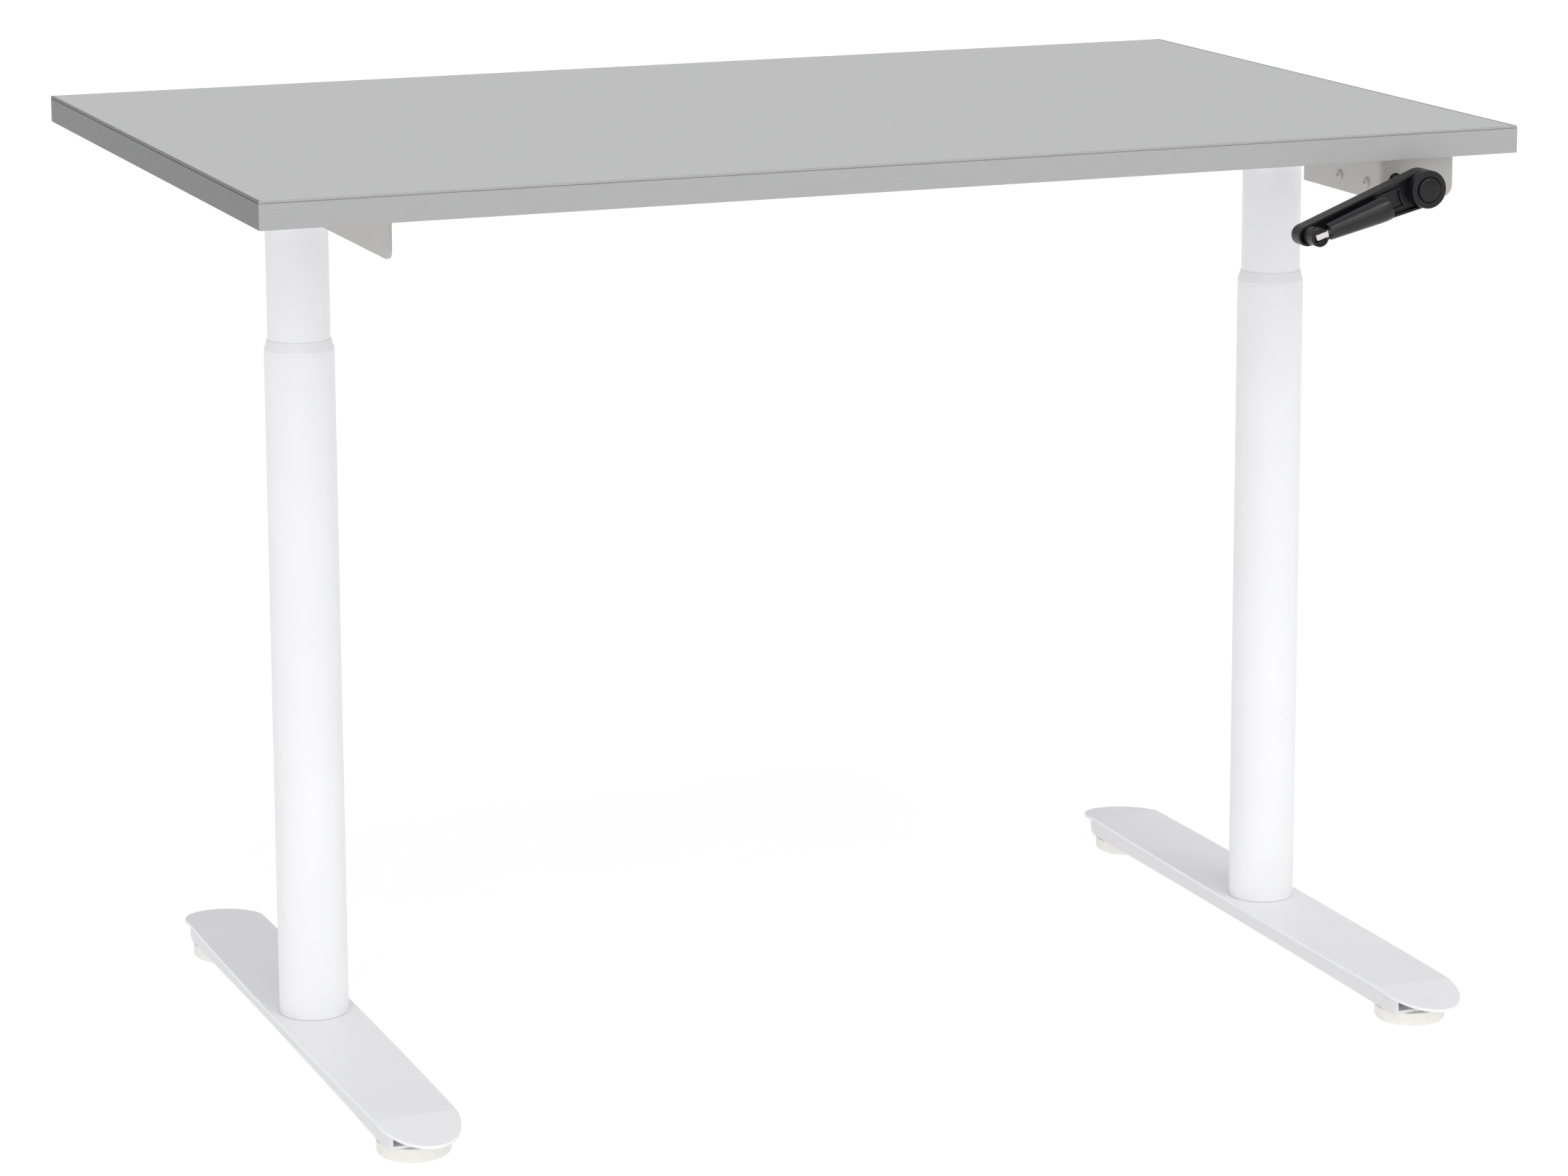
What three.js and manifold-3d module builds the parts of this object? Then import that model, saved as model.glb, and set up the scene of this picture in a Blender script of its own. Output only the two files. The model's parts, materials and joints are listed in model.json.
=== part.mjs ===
// Height adjustable desk with two telescopic legs, lifted by a folding hand crank.
// Millimetres, +Z up. Origin: on the floor, under the centre of the desk's bounding box.
// X runs along the working edge, -Y is the side where a person sits.

import * as THREE from 'three';
import { mergeVertices } from 'three/addons/utils/BufferGeometryUtils.js';
import Module from 'manifold-3d';

const wasm = await Module();
wasm.setup();

// ---------------------------------------------------------------- driving dimensions

const gap = 0.3;                 // between pieces that touch
const sheet = 3;                 // steel sheet

// Tabletop
const topWidth = 1200;
const topDepth = 750;
const topThickness = 25;
const topHeight = 865;           // floor to working surface, as drawn
const topY = 20;                 // centre of the top, front to back
const bandThickness = 2;

// Legs
const legSpacing = 1000;
const legMiddleX = 34;           // the top overhangs further at the left than at the right
const legY = 5;
const outerRadius = 32.5;
const outerWall = 1.5;
const innerRadius = 29;
const innerWall = 2;
const shoulderZ = 671;           // where the lower tube's full width ends
const innerBottomZ = 200;
const innerTopZ = 791;

// Feet
const footHalfLength = 380;
const footHalfWidth = 41;
const footEndHalfWidth = 38;
const footTopZ = 36;
const bendY = 318;               // the last stretch of the foot plate is bent down from here
const bendAngle = THREE.MathUtils.degToRad(8);
const channelInset = 5;
const channelHalfLength = 340;
const channelBottomZ = 14;
const padRadius = 33.5;
const padHeight = 13.5;
const padY = 312;                // from the leg axis

// Drive
const driveZ = 815;              // height of the crank shaft and the cross rod
const housingBottom = 795.6;
const crankX = 494;
const shaftRadius = 5;
const spindleRadius = 6;
const spindleBottomZ = 190;
const bevelInner = 6;            // distance of a bevel gear's small face from where the axes meet
const bevelOuter = 12;
const bevelPlay = 0.4;

// Crank
const armLength = 124;           // hub axis to the centre of the arm's round end
const armRear = -356;
const armFront = -372;
const armTilt = THREE.MathUtils.degToRad(-17.3);
const hubRadius = 17.5;
const hubFront = -382;
const armEndRadius = 9.5;
const capSeatRadius = 11.6;
const pivotX = -121;             // fold pin, along the arm from the hub axis
const pivotY = -383.6;
const bossRadius = 8.5;

// Worked out
const undersideZ = topHeight - topThickness;
const legXs = { left: legMiddleX - legSpacing / 2, right: legMiddleX + legSpacing / 2 };
const topFront = topY - topDepth / 2;
const topRear = topY + topDepth / 2;
const flangeTop = undersideZ - gap;
const flangeBottom = flangeTop - sheet;
const housingTop = flangeBottom - gap;
const armBottomZ = 796.5;        // lower edge of the side arms and the crank bracket

// ---------------------------------------------------------------- materials

const finish = (color, roughness, metalness = 0) => ({ color, roughness, metalness });
const finishes = {
  whiteSteel: finish(0xf3f3f6, 0.42),
  laminate: finish(0xbfc0c1, 0.5),
  edging: finish(0xb3b4b5, 0.45),
  blackPlastic: finish(0x18181b, 0.35),
  creamPlastic: finish(0xe8e6dd, 0.5),
  whitePlastic: finish(0xefeff1, 0.5),
  plainSteel: finish(0xb5b8bc, 0.35, 1),
  castMetal: finish(0x9b9ea3, 0.55, 0.9),
};

// ---------------------------------------------------------------- geometry helpers

const desk = new THREE.Group();

function signedVolume(geometry) {
  const position = geometry.getAttribute('position');
  const index = geometry.getIndex();
  const [a, b, c] = [new THREE.Vector3(), new THREE.Vector3(), new THREE.Vector3()];
  let volume = 0;
  for (let i = 0; i < index.count; i += 3) {
    a.fromBufferAttribute(position, index.getX(i));
    b.fromBufferAttribute(position, index.getX(i + 1));
    c.fromBufferAttribute(position, index.getX(i + 2));
    volume += a.dot(b.cross(c)) / 6;
  }
  return volume;
}

// A closed mesh with shared vertices, its faces pointing out.
function closed(geometry) {
  const bare = new THREE.BufferGeometry();
  bare.setAttribute('position', geometry.getAttribute('position').clone());
  bare.setIndex(geometry.getIndex() ? geometry.getIndex().clone() : null);
  const merged = mergeVertices(bare, 1e-4);
  if (signedVolume(merged) < 0) {
    merged.getIndex().array.reverse();
  }
  return merged;
}

function solid(geometry) {
  const mesh = closed(geometry);
  const vertProperties = Float32Array.from(mesh.getAttribute('position').array);
  const triVerts = Uint32Array.from(mesh.getIndex().array);
  return new wasm.Manifold(new wasm.Mesh({ numProp: 3, vertProperties, triVerts }));
}

function geometryOf(manifold) {
  const mesh = manifold.getMesh();
  const geometry = new THREE.BufferGeometry();
  geometry.setAttribute('position', new THREE.BufferAttribute(mesh.vertProperties, 3));
  geometry.setIndex(new THREE.BufferAttribute(mesh.triVerts, 1));
  return geometry;
}

// A first solid with others joined to it, then others cut from it.
function carve(base, { join = [], cut = [] }) {
  let result = solid(base);
  for (const piece of join) {
    result = result.add(solid(piece));
  }
  for (const piece of cut) {
    result = result.subtract(solid(piece));
  }
  return geometryOf(result);
}

function box(x0, x1, y0, y1, z0, z1) {
  const geometry = new THREE.BoxGeometry(x1 - x0, y1 - y0, z1 - z0);
  return geometry.translate((x0 + x1) / 2, (y0 + y1) / 2, (z0 + z1) / 2);
}

// Shapes drawn in plan (X, Y), from the side (Y, Z) or from the front (X, Z).
function planPrism(shape, z0, z1, curveSegments = 12) {
  const geometry = new THREE.ExtrudeGeometry(shape, { depth: z1 - z0, bevelEnabled: false, curveSegments });
  return geometry.translate(0, 0, z0);
}

function sidePrism(shape, x0, x1, curveSegments = 8) {
  const axes = new THREE.Matrix4().makeBasis(
    new THREE.Vector3(0, 1, 0), new THREE.Vector3(0, 0, 1), new THREE.Vector3(1, 0, 0));
  return planPrism(shape, 0, x1 - x0, curveSegments).applyMatrix4(axes).translate(x0, 0, 0);
}

function frontPrism(shape, y0, y1, curveSegments = 12) {
  return planPrism(shape, 0, y1 - y0, curveSegments).rotateX(Math.PI / 2).translate(0, y1, 0);
}

// Turned shapes: a profile of [radius, height] points, about an upright axis.
function turned(profile, segments = 20) {
  const points = profile.map(([radius, height]) => new THREE.Vector2(radius, height));
  return new THREE.LatheGeometry(points, segments).rotateX(Math.PI / 2);
}

function ring(outer, inner, z0, z1, segments = 32) {
  return turned([[inner, z0], [outer, z0], [outer, z1], [inner, z1], [inner, z0]], segments);
}

function rod(radius, z0, z1, segments = 12) {
  return turned([[0, z0], [radius, z0], [radius, z1], [0, z1]], segments);
}

const alongX = (geometry) => geometry.rotateY(Math.PI / 2);
const alongY = (geometry) => geometry.rotateX(-Math.PI / 2);

function roundedRectangle(x0, x1, y0, y1, radius) {
  const shape = new THREE.Shape();
  shape.absarc(x1 - radius, y0 + radius, radius, -Math.PI / 2, 0);
  shape.absarc(x1 - radius, y1 - radius, radius, 0, Math.PI / 2);
  shape.absarc(x0 + radius, y1 - radius, radius, Math.PI / 2, Math.PI);
  shape.absarc(x0 + radius, y0 + radius, radius, Math.PI, 1.5 * Math.PI);
  shape.closePath();
  return shape;
}

function add(parent, name, geometry, look) {
  const mesh = new THREE.Mesh(closed(geometry), new THREE.MeshStandardMaterial(finishes[look]));
  mesh.name = name;
  parent.add(mesh);
  return mesh;
}

function groupAt(x, y, z = 0) {
  const group = new THREE.Group();
  group.position.set(x, y, z);
  desk.add(group);
  return group;
}

// ---------------------------------------------------------------- feet

// Plan of a foot: widest under the leg, drawn in to the ends, each end a half ellipse.
function footOutline(inset) {
  const end = footEndHalfWidth - inset;
  const bulge = 2 * (footHalfWidth - inset) - end;
  const endDepth = footHalfLength - inset - bendY;
  const shape = new THREE.Shape();
  shape.moveTo(end, -bendY);
  shape.quadraticCurveTo(bulge, 0, end, bendY);
  shape.absellipse(0, bendY, end, endDepth, 0, Math.PI);
  shape.quadraticCurveTo(-bulge, 0, -end, -bendY);
  shape.absellipse(0, -bendY, end, endDepth, Math.PI, 2 * Math.PI);
  return shape;
}

// The plate's ends are bent down about the lines where its flat middle stops.
function footPlate(boltRadius) {
  const bottom = footTopZ - sheet;
  const blank = solid(planPrism(footOutline(0), bottom, footTopZ));
  const wide = 2 * footHalfWidth;
  let plate = blank.intersect(solid(box(-wide, wide, -bendY, bendY, 0, 2 * footTopZ)));
  for (const side of [-1, 1]) {
    const y0 = side < 0 ? -2 * footHalfLength : bendY;
    const y1 = side < 0 ? -bendY : 2 * footHalfLength;
    const flat = geometryOf(blank.intersect(solid(box(-wide, wide, y0, y1, 0, 2 * footTopZ))));
    flat.translate(0, -side * bendY, -footTopZ).rotateX(-side * bendAngle);
    plate = plate.add(solid(flat.translate(0, side * bendY, footTopZ)));
  }
  return geometryOf(plate.subtract(solid(rod(boltRadius, 0, 2 * footTopZ, 16))));
}

// Channel under the plate: open at the front end, swept up like a boat's stern at the rear end.
function footChannel(boltRadius, studHole) {
  const topZ = footTopZ - sheet - gap;
  const drop = (channelHalfLength - bendY) * Math.tan(bendAngle);
  const transom = 2;             // straight part of the stern, above its curve
  const sternRadius = topZ - drop - channelBottomZ - transom;
  const stern = channelHalfLength - sternRadius;
  const profile = new THREE.Shape();
  profile.moveTo(-channelHalfLength, channelBottomZ);
  profile.lineTo(stern, channelBottomZ);
  profile.absarc(stern, channelBottomZ + sternRadius, sternRadius, -Math.PI / 2, 0);
  profile.lineTo(channelHalfLength, topZ - drop);
  profile.lineTo(bendY, topZ);
  profile.lineTo(-bendY, topZ);
  profile.lineTo(-channelHalfLength, topZ - drop);
  profile.closePath();
  const wide = 2 * footHalfWidth;
  const full = solid(sidePrism(profile, -wide, wide));
  const outline = planPrism(footOutline(channelInset), 0, 2 * footTopZ);
  const hollow = planPrism(footOutline(channelInset + sheet), channelBottomZ + sheet, 2 * footTopZ);
  const reach = box(-wide, wide, -2 * channelHalfLength, stern, 0, wide);
  const room = solid(hollow).intersect(solid(reach));
  let channel = full.intersect(solid(outline)).subtract(room);
  channel = channel.subtract(solid(rod(boltRadius, 0, footTopZ, 16)));
  for (const side of [-1, 1]) {
    channel = channel.subtract(solid(rod(studHole, 0, footTopZ, 16).translate(0, side * padY, 0)));
  }
  return geometryOf(channel);
}

const studRadius = 5;
const studClearance = 0.4;

function addFoot(side, x) {
  const boltClearance = 5.5;
  const foot = groupAt(x, legY);
  add(foot, `foot_plate_${side}`, footPlate(boltClearance), 'whiteSteel');
  add(foot, `foot_channel_${side}`, footChannel(boltClearance, studRadius + studClearance), 'whiteSteel');
  const seat = channelBottomZ - gap;
  const head = seat - 5.7;
  const tip = 60;
  const bolt = turned([[0, head], [10, head], [10, seat], [5, seat], [5, tip], [0, tip]], 16);
  add(foot, `leg_bolt_${side}`, bolt, 'plainSteel');
}

// A levelling pad with its threaded stud.
function addLeveller(name, x, y) {
  const leveller = groupAt(x, y);
  const socketFloor = 6;
  const edge = 2.5;
  const socket = studRadius + gap;
  const profile = [[0, 0], [padRadius - edge, 0], [padRadius, edge], [padRadius, padHeight]];
  profile.push([socket, padHeight], [socket, socketFloor], [0, socketFloor]);
  add(leveller, `level_pad_${name}`, turned(profile, 32), 'creamPlastic');
  const studTop = footTopZ - 6;
  add(leveller, `level_stud_${name}`, rod(studRadius, socketFloor + gap, studTop, 16), 'plainSteel');
}

// ---------------------------------------------------------------- legs

const nutTubeRadius = 13;
const nutBottomZ = 535;
const nutTopZ = 560;

function addLeg(side, x) {
  const leg = groupAt(x, legY);
  const tubeTop = shoulderZ - 3;
  const outerBore = outerRadius - outerWall;
  add(leg, `outer_tube_${side}`, ring(outerRadius, outerBore, footTopZ + gap, tubeTop), 'whiteSteel');
  const innerTube = ring(innerRadius, innerRadius - innerWall, innerBottomZ, innerTopZ);
  add(leg, `inner_tube_${side}`, innerTube, 'whiteSteel');

  const skirt = outerBore - gap;
  const skirtBottom = tubeTop - 40;
  const bore = innerRadius + 0.5;
  const lip = tubeTop + gap;
  const collarTop = shoulderZ + 9.5;
  const collar = [[bore, skirtBottom], [skirt, skirtBottom], [skirt, lip], [outerRadius, lip]];
  collar.push([outerRadius, shoulderZ], [bore + 0.8, collarTop], [bore, collarTop], [bore, skirtBottom]);
  add(leg, `collar_${side}`, turned(collar, 32), 'whitePlastic');

  const bush = ring(outerBore - gap, innerRadius + gap, innerBottomZ, innerBottomZ + 60);
  add(leg, `guide_bush_${side}`, bush, 'whitePlastic');

  // The nut tube stands on the foot plate. Its solid lower end takes the leg bolt.
  const boltBore = 5.3;
  const tubeBore = 10;
  const foot = footTopZ + gap;
  const plugTop = 63;
  const under = nutBottomZ - gap;
  const nutTube = [[boltBore, foot], [nutTubeRadius, foot], [nutTubeRadius, under], [tubeBore, under]];
  nutTube.push([tubeBore, plugTop], [boltBore, plugTop], [boltBore, foot]);
  add(leg, `nut_tube_${side}`, turned(nutTube, 16), 'plainSteel');
  const nut = ring(nutTubeRadius, spindleRadius + gap, nutBottomZ, nutTopZ, 16);
  add(leg, `spindle_nut_${side}`, nut, 'whitePlastic');

  // Lifting spindle with the bevel gear on its upper end.
  const gearBottom = driveZ - bevelOuter;
  const gearTop = driveZ - bevelInner;
  const spindle = [[0, spindleBottomZ], [spindleRadius, spindleBottomZ], [spindleRadius, gearBottom]];
  spindle.push([bevelOuter - bevelPlay, gearBottom], [bevelInner - bevelPlay, gearTop], [0, gearTop]);
  add(leg, `spindle_${side}`, turned(spindle, 16), 'plainSteel');

  const half = 35;
  const headPlate = carve(
    planPrism(roundedRectangle(-half, half, -half, half, 8), innerTopZ + gap, housingBottom - gap, 4),
    { cut: [rod(spindleRadius + 4, innerTopZ - 5, housingBottom + 5)] });
  add(leg, `head_plate_${side}`, headPlate, 'whiteSteel');
}

// ---------------------------------------------------------------- gearboxes and cross rod

const housingHalfDepth = 17;

// Open-topped casting around the bevel gears; the side arm's flange closes it.
function addGearbox(side, legX, x0, x1, rodWall, shaftX) {
  const y0 = legY - housingHalfDepth;
  const y1 = legY + housingHalfDepth;
  const rodHole = alongX(rod(5.2, -10, 10)).translate(rodWall, legY, driveZ);
  const spindleHole = rod(spindleRadius + 1, housingBottom - 5, housingBottom + 5).translate(legX, legY, 0);
  const cut = [
    box(x0 + sheet, x1 - sheet, y0 + sheet, y1 - sheet, housingBottom + sheet, undersideZ),
    rodHole,
    spindleHole,
  ];
  if (shaftX !== null) {
    cut.push(alongY(rod(shaftRadius + 0.6, -10, 10)).translate(shaftX, y0, driveZ));
  }
  const block = planPrism(roundedRectangle(x0, x1, y0, y1, 2.5), housingBottom, housingTop, 3);
  add(desk, `gearbox_${side}`, carve(block, { cut }), 'castMetal');
}

// Bevel gear on the cross rod; its teeth face +X, towards the axis that it drives.
function addRodBevel(name, axisX) {
  const bore = 4.4;
  const gear = [[bore, 0], [bevelOuter - bevelPlay, 0]];
  gear.push([bevelInner - bevelPlay, bevelOuter - bevelInner], [bore, bevelOuter - bevelInner], [bore, 0]);
  const geometry = alongX(turned(gear, 16)).translate(axisX - bevelOuter, legY, driveZ);
  add(desk, name, geometry, 'plainSteel');
}

function addDrive() {
  addGearbox('left', legXs.left, legXs.left - 20, legXs.left + 20, legXs.left + 20, null);
  addGearbox('right', legXs.right, crankX - 20, legXs.right + 18, crankX - 20, crankX);
  addRodBevel('rod_bevel_left', legXs.left);
  addRodBevel('rod_bevel_right', legXs.right);
  addRodBevel('rod_bevel_crank', crankX);
  const hexRod = alongX(rod(4, legXs.left - 14, legXs.right - 4, 6)).translate(0, legY, driveZ);
  add(desk, 'cross_rod', hexRod, 'plainSteel');
}

// ---------------------------------------------------------------- frame under the top

const gearboxSlot = 19;          // half depth of the cut-out around a gearbox
const screwRadius = 2.5;
const screwY = { left: [-265, 300], right: [-140, 300] };
const screwInset = { left: 28, right: -28 };

// L-section under the top: an upright web in the leg's middle plane and a flange towards the middle.
function addSideArm(side, x, frontY) {
  const rearY = 319;
  const web = new THREE.Shape();
  const round = 12;
  web.moveTo(frontY, flangeTop);
  web.lineTo(frontY, armBottomZ + round);
  web.absarc(frontY + round, armBottomZ + round, round, Math.PI, 1.5 * Math.PI);
  web.absarc(rearY - round, armBottomZ + round, round, 1.5 * Math.PI, 2 * Math.PI);
  web.lineTo(rearY, flangeTop);
  web.closePath();
  const inward = Math.sign(legMiddleX - x);
  const flangeXs = [x - inward * sheet / 2, x + inward * 50].sort((a, b) => a - b);
  const flange = box(flangeXs[0], flangeXs[1], frontY, rearY, flangeBottom, flangeTop);
  const slot = box(x - 10, x + 10, legY - gearboxSlot, legY + gearboxSlot, armBottomZ - 5, flangeBottom);
  const hole = () => rod(screwRadius + gap, flangeBottom - 5, flangeTop + 5);
  const holes = screwY[side].map((y) => hole().translate(x + screwInset[side], y, 0));
  const upright = sidePrism(web, x - sheet / 2, x + sheet / 2);
  const arm = carve(upright, { join: [flange], cut: [slot, ...holes] });
  add(desk, `side_arm_${side}`, arm, 'whiteSteel');
}

function addTopScrews(side, x) {
  const headHeight = 3;
  screwY[side].forEach((y, i) => {
    const head = flangeBottom - gap;
    const profile = [[0, head - headHeight], [3.5, head - headHeight], [5, head - 1], [5, head]];
    profile.push([screwRadius, head], [screwRadius, undersideZ + 15], [0, undersideZ + 15]);
    const name = `top_screw_${side}_${i === 0 ? 'front' : 'rear'}`;
    add(groupAt(x + screwInset[side], y), name, turned(profile, 12), 'plainSteel');
  });
}

// Rectangular tube between two end plates that bolt to the side arms' webs.
function addCrossbeam() {
  const y0 = legY + 40;
  const y1 = y0 + 80;
  const wall = 2;
  const plate = 5;
  const left = legXs.left + sheet / 2 + gap;
  const right = legXs.right - sheet / 2 - gap;
  const section = roundedRectangle(y0, y1, armBottomZ + plate, housingTop, 4);
  const bottom = armBottomZ + plate + wall;
  section.holes.push(roundedRectangle(y0 + wall, y1 - wall, bottom, housingTop - wall, 2));
  const beam = sidePrism(section, left + sheet + gap, right - sheet - gap, 4);
  add(desk, 'crossbeam', beam, 'whiteSteel');
  const ends = { left: [left, left + sheet], right: [right - sheet, right] };
  for (const [side, [x0, x1]] of Object.entries(ends)) {
    const outline = roundedRectangle(y0 - plate, y1 + plate, armBottomZ + 2, housingTop, 5);
    add(desk, `beam_end_${side}`, sidePrism(outline, x0, x1, 4), 'whiteSteel');
  }
}

// ---------------------------------------------------------------- crank bracket

const bracket = { x0: 478, x1: 555, y0: -318, y1: -168 };
const bracketCorner = 14;        // its right wall stops this far above the lower edge
const bearingScrewY = { front: -292, rear: -240 };
const bearingScrewZ = 811;

// What the front wall's lower right corner loses: all outside a quarter circle.
function cornerOffcut(x, z, radius) {
  const beyond = 5;
  const shape = new THREE.Shape();
  shape.moveTo(x - radius, z - beyond);
  shape.lineTo(x + beyond, z - beyond);
  shape.lineTo(x + beyond, z + radius);
  shape.lineTo(x, z + radius);
  shape.absarc(x - radius, z + radius, radius, 0, -Math.PI / 2, true);
  shape.closePath();
  return shape;
}

// Folded box, open below and behind, that carries the crank shaft.
function addCrankBracket() {
  const { x0, x1, y0, y1 } = bracket;
  const plan = new THREE.Shape();
  plan.absarc(x0 + 4, y0 + 4, 4, Math.PI, 1.5 * Math.PI);
  plan.absarc(x1 - 4, y0 + 4, 4, 1.5 * Math.PI, 2 * Math.PI);
  plan.lineTo(x1, y1);
  plan.lineTo(x0, y1);
  plan.closePath();
  const cut = [
    box(x0 + sheet, x1 - sheet, y0 + sheet, y1 + 10, armBottomZ - 10, flangeBottom),
    alongY(rod(7, -10, 10)).translate(crankX, y0, driveZ),
    frontPrism(cornerOffcut(x1, armBottomZ, bracketCorner), y0 - 5, y0 + sheet, 6),
    box(x1 - sheet - 1, x1 + 1, y0 + sheet, y1 + 1, armBottomZ - 1, armBottomZ + bracketCorner),
  ];
  const block = { x0: x0 + sheet + gap, x1: crankX + 13, y0: -306, y1: -226, z0: 799, z1: 831 };
  const blockCut = [alongY(rod(shaftRadius + gap, -60, 60)).translate(crankX, -266, driveZ)];
  for (const [end, y] of Object.entries(bearingScrewY)) {
    cut.push(alongX(rod(screwRadius + gap, -10, 10, 12)).translate(x0, y, bearingScrewZ));
    const pilot = alongX(rod(screwRadius + gap, -10, 5.5, 12));
    blockCut.push(pilot.translate(block.x0, y, bearingScrewZ));
    const head = -gap - 2.5;
    const profile = [[0, head], [3, head], [5, -gap], [screwRadius, -gap], [screwRadius, 8], [0, 8]];
    const screw = alongX(turned(profile, 12)).translate(x0, y, bearingScrewZ);
    add(desk, `bearing_screw_${end}`, screw, 'whiteSteel');
  }
  add(desk, 'crank_bracket', carve(planPrism(plan, armBottomZ, flangeTop, 4), { cut }), 'whiteSteel');
  const block0 = box(block.x0, block.x1, block.y0, block.y1, block.z0, block.z1);
  add(desk, 'shaft_bearing', carve(block0, { cut: blockCut }), 'blackPlastic');
}

// ---------------------------------------------------------------- crank

// Outline of two circles on the X axis, joined by their outer tangents.
function taperedBar(radius, endRadius, length) {
  const lean = Math.asin((radius - endRadius) / length);
  const turn = Math.PI / 2 + lean;
  const shape = new THREE.Shape();
  shape.absarc(0, 0, radius, -turn, turn);
  shape.absarc(-length, 0, endRadius, turn, 2 * Math.PI - turn);
  shape.closePath();
  return shape;
}

function crankArm() {
  const rim = 2.5;
  const pocketFloor = armFront + 4;
  const body = frontPrism(taperedBar(hubRadius, armEndRadius, armLength), armFront, armRear, 7);
  const hub = alongY(rod(hubRadius, hubFront, armFront + 1, 28));
  const boss = alongY(rod(bossRadius, pivotY - 7, pocketFloor + 1, 20)).translate(pivotX, 0, 0);
  const recess = taperedBar(hubRadius - rim, armEndRadius - rim, armLength);
  let pocket = solid(frontPrism(recess, armFront - 1, pocketFloor, 7));
  pocket = pocket.subtract(solid(alongY(rod(hubRadius, armFront - 5, armRear, 28))));
  const bore = alongY(rod(shaftRadius + gap, -380, armRear + 5));
  const capSeat = alongY(rod(capSeatRadius, hubFront - 5, hubFront + 1.5, 28));
  const slot = box(pivotX - 5, pivotX + 12, pivotY - 10, pivotY + 4.5, -3.4, 3.4);
  const pinHole = rod(1.8, -12, 12, 12).translate(pivotX, pivotY, 0);
  let arm = solid(body).subtract(pocket);
  for (const piece of [hub, boss]) {
    arm = arm.add(solid(piece));
  }
  for (const piece of [bore, capSeat, slot, pinHole]) {
    arm = arm.subtract(solid(piece));
  }
  return geometryOf(arm);
}

// Spindle of the handle: a flat tongue around the fold pin, then a round rod inside the grip.
function gripSpindle() {
  const tongue = new THREE.Shape();
  tongue.absarc(0, 0, 4, Math.PI / 2, 1.5 * Math.PI);
  tongue.lineTo(10, -4);
  tongue.lineTo(10, 4);
  tongue.closePath();
  const round = alongX(rod(3, 9, 68));
  return carve(planPrism(tongue, -3, 3, 6), { join: [round], cut: [rod(1.8, -5, 5, 12)] });
}

function gripSleeve() {
  const bore = 3.4;
  const narrow = 7.5;
  const wideEnd = 11.4;
  const start = 12;
  const end = 76.5;
  const profile = [[0, 70], [bore, 70], [bore, start], [narrow, start]];
  profile.push([wideEnd, end - 4.5], [wideEnd - 4, end], [0, end]);
  return alongX(turned(profile));
}

function addCrank() {
  const crank = groupAt(crankX, 0, driveZ);

  // The shaft's bevel gear meets the cross rod; its front end sits in the hub.
  const gearFront = bevelOuter - legY;
  const shaft = [[0, bevelInner - legY], [bevelInner - bevelPlay, bevelInner - legY]];
  shaft.push([bevelOuter - bevelPlay, gearFront], [shaftRadius, gearFront], [shaftRadius, 378], [0, 378]);
  add(crank, 'crank_shaft', turned(shaft, 16).rotateX(Math.PI / 2), 'plainSteel');

  const turning = new THREE.Group();
  turning.rotation.y = armTilt;
  crank.add(turning);
  add(turning, 'crank_arm', crankArm(), 'blackPlastic');

  const seat = 2;
  const face = seat + 1;
  const edge = capSeatRadius - 0.5;
  const cap = [[0, 0], [edge, 0], [edge, face], [edge - 1.2, face + 1], [edge - 2.7, face], [0, face]];
  const hubCap = turned(cap, 28).rotateX(Math.PI / 2).translate(0, hubFront + 1.2, 0);
  add(turning, 'hub_cap', hubCap, 'blackPlastic');

  const handle = new THREE.Group();
  handle.position.set(pivotX, pivotY, 0);
  turning.add(handle);
  add(handle, 'fold_pin', rod(1.5, -7.5, 7.5, 12), 'plainSteel');
  add(handle, 'grip_spindle', gripSpindle(), 'plainSteel');
  add(handle, 'grip_sleeve', gripSleeve(), 'blackPlastic');
}

// ---------------------------------------------------------------- tabletop

function addTop() {
  const edge = bandThickness + gap;
  const half = topWidth / 2;
  const panel = box(-half + edge, half - edge, topFront + edge, topRear - edge, undersideZ, topHeight);
  const pilots = [];
  for (const [side, x] of Object.entries(legXs)) {
    for (const y of screwY[side]) {
      const pilot = rod(screwRadius + gap, undersideZ - 5, undersideZ + 17);
      pilots.push(pilot.translate(x + screwInset[side], y, 0));
    }
  }
  add(desk, 'table_panel', carve(panel, { cut: pilots }), 'laminate');
  const bands = {
    front: [-half, half, topFront, topFront + bandThickness],
    rear: [-half, half, topRear - bandThickness, topRear],
    left: [-half, -half + bandThickness, topFront + edge, topRear - edge],
    right: [half - bandThickness, half, topFront + edge, topRear - edge],
  };
  for (const [name, [x0, x1, y0, y1]] of Object.entries(bands)) {
    add(desk, `edge_band_${name}`, box(x0, x1, y0, y1, undersideZ, topHeight), 'edging');
  }
}

// ---------------------------------------------------------------- assembly

const armFrontY = { left: -288, right: -160 };

for (const [side, x] of Object.entries(legXs)) {
  addFoot(side, x);
  addLeveller(`${side}_front`, x, legY - padY);
  addLeveller(`${side}_rear`, x, legY + padY);
  addLeg(side, x);
  addSideArm(side, x, armFrontY[side]);
  addTopScrews(side, x);
}
addDrive();
addCrossbeam();
addCrankBracket();
addCrank();
addTop();

export default desk;
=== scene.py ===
"""Looks of a height adjustable desk with a hand crank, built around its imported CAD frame."""

import json
import math

import bmesh
import bpy
from mathutils import Matrix, Vector


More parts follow.
